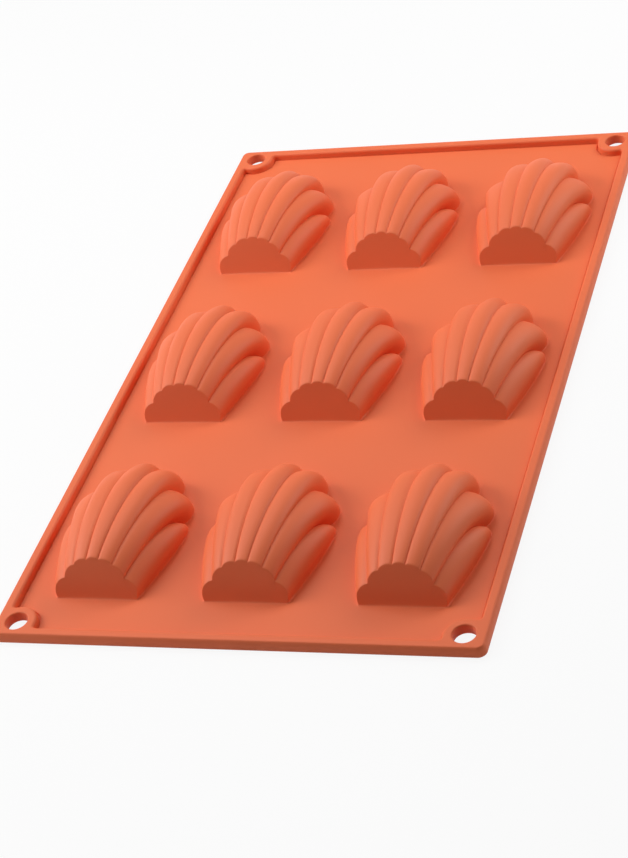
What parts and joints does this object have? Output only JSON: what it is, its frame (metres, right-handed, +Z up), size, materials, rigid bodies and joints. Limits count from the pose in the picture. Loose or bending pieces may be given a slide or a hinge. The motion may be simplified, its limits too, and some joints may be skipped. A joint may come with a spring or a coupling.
{
  "type": "silicone madeleine mould",
  "caption": "Flexible baking mould: flat web with a raised rim, corner eyelets and shell-shaped ribbed cavities with a flat heel, lying backs up.",
  "frame": {"origin": "middle of the footprint, on the surface that the baking face lies on", "axes": "+X across the mould, +Y along it from the cavities' heels to their fanned ends, +Z up through the cavity backs"},
  "size_m": [0.175, 0.3, 0.0188],
  "materials": {
    "silicone": "satin moulded silicone"
  },
  "bodies": {
    "root": {"sheet": "silicone", "rim_front": "silicone", "rim_back": "silicone", "rim_left": "silicone", "rim_right": "silicone", "eyelet_front_left": "silicone", "eyelet_front_right": "silicone", "eyelet_back_left": "silicone", "eyelet_back_right": "silicone", "cup_front_left": "silicone", "cup_front_middle": "silicone", "cup_front_right": "silicone", "cup_centre_left": "silicone", "cup_centre_middle": "silicone", "cup_centre_right": "silicone", "cup_back_left": "silicone", "cup_back_middle": "silicone", "cup_back_right": "silicone"}
  },
  "joints": []
}
